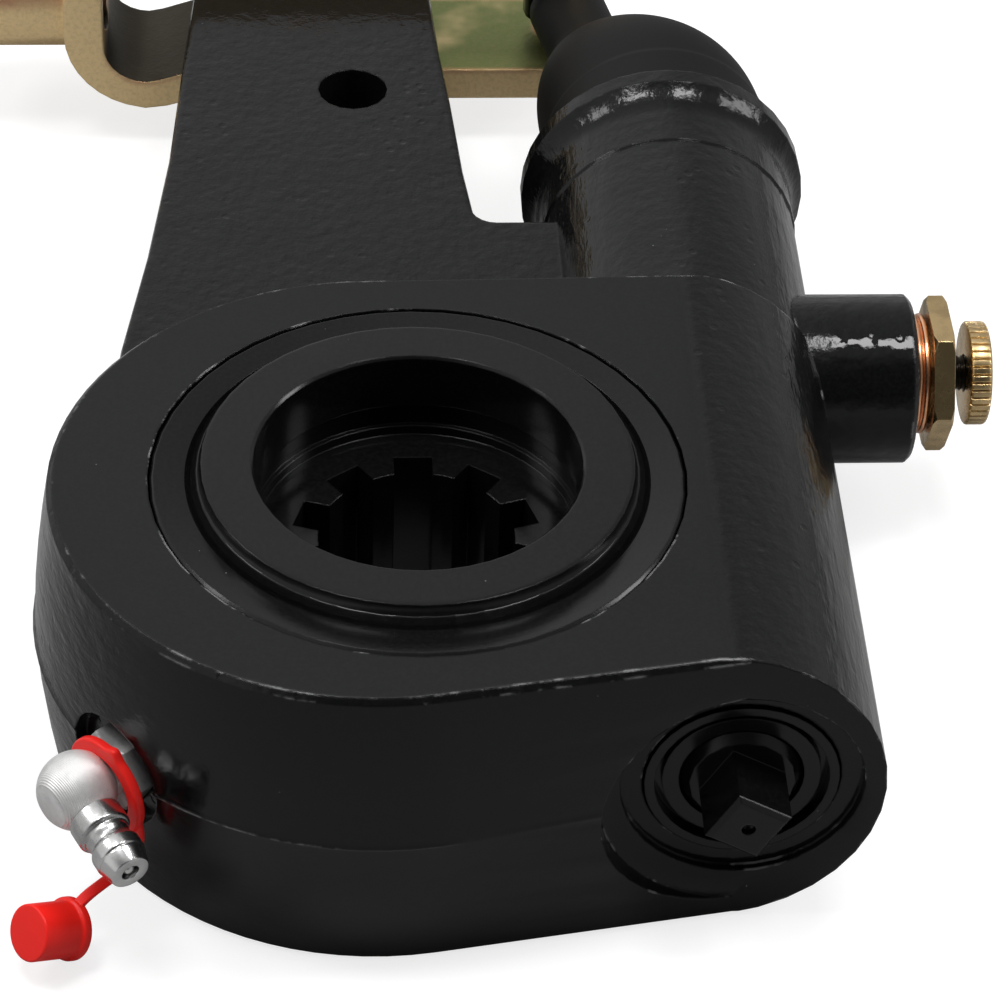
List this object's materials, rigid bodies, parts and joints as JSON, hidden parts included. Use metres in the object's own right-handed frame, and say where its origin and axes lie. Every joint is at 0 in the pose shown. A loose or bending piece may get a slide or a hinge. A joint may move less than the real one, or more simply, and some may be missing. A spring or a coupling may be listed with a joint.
{
  "type": "brake slack adjuster",
  "caption": "Automatic brake slack adjuster: cast housing with arm and barrel, splined worm gear, worm, pull pawl, booted rod and forged clevis.",
  "frame": {"origin": "middle of the bounding box at the level of the housing's back face, on which the part lies", "axes": "+Z along the worm gear's axis towards the hub, +Y along the barrel towards the clevis pins, +X towards the pull pawl"},
  "size_m": [0.1784, 0.2484, 0.0555],
  "materials": {
    "black_paint": "satin black paint over a casting",
    "black_oxide": "machined steel with black oxide",
    "black_steel": "black coated steel",
    "black_rubber": "matte moulded rubber",
    "bearing_bronze": "plain bearing bronze",
    "bright_steel": "turned bright steel",
    "brass": "turned brass, dulled by handling",
    "copper": "bright folded copper",
    "yellow_zinc": "yellow zinc plate over a forging",
    "red_plastic": "glossy moulded plastic"
  },
  "bodies": {
    "housing": {"housing": "black_paint", "arm_bush": "bearing_bronze", "gear_seal": "black_rubber", "thrust_washer": "bearing_bronze", "worm_seal": "black_steel", "worm_bush": "bearing_bronze", "boot": "black_rubber", "pawl_spring": "bright_steel", "crush_washer": "copper", "pawl_cap_screw": "brass", "grease_elbow": "bright_steel", "grease_nipple": "bright_steel", "check_ball": "bright_steel", "grease_cap": "red_plastic"},
    "gear": {"worm_gear": "black_oxide", "gear_snap_ring": "bright_steel"},
    "worm": {"worm": "black_steel"},
    "actuator": {"actuator": "black_oxide", "piston_keeper": "bright_steel"},
    "piston": {"piston": "bright_steel", "wrist_pin": "bright_steel"},
    "rod": {"actuator_rod": "black_steel"},
    "pawl": {"pawl": "black_steel", "pull_knob": "brass"},
    "clevis": {"clevis": "yellow_zinc", "large_clevis_pin": "yellow_zinc", "small_clevis_pin": "yellow_zinc", "large_pin_washer": "yellow_zinc", "small_pin_washer": "yellow_zinc", "large_cotter": "bright_steel", "small_cotter": "bright_steel"}
  },
  "joints": [
    {"name": "gear_turn", "type": "hinge", "parent": "housing", "child": "gear", "pos_m": [-0.00725, -0.06933, 0.02635], "axis": [0, 0, 1], "continuous": true},
    {"name": "worm_turn", "type": "hinge", "parent": "housing", "child": "worm", "pos_m": [0.03965, -0.06933, 0.02635], "axis": [0, 1, 0], "continuous": true},
    {"name": "clevis_swing", "type": "hinge", "parent": "housing", "child": "clevis", "pos_m": [-0.02125, 0.10267, 0.02635], "axis": [0, 0, 1], "range_deg": [-5, 12]},
    {"name": "piston_slide", "type": "slide", "parent": "housing", "child": "piston", "axis": [0, 1, 0], "range_m": [-0.0042, 0.0099], "deforming": ["boot"]},
    {"name": "rod_swing", "type": "hinge", "parent": "piston", "child": "rod", "pos_m": [0.03965, 0.02867, 0.02635], "axis": [0, 0, 1], "range_deg": [-0.4, 0.9]},
    {"name": "actuator_slide", "type": "slide", "parent": "worm", "child": "actuator", "axis": [0, 1, 0], "range_m": [-0.0042, 0.0099]},
    {"name": "pawl_pull", "type": "slide", "parent": "housing", "child": "pawl", "axis": [1, 0, 0], "range_m": [0, 0.003], "stiffness_N_per_m": 600, "springref_m": -0.003, "deforming": ["pawl_spring"]}
  ],
  "couplings": [
    {"joint": "worm_turn", "follows": "gear_turn", "ratio": -24},
    {"joint": "piston_slide", "follows": "clevis_swing", "m_per_rad": 0.0468},
    {"joint": "actuator_slide", "follows": "clevis_swing", "m_per_rad": 0.0468},
    {"joint": "rod_swing", "follows": "clevis_swing", "ratio": 0.065}
  ]
}
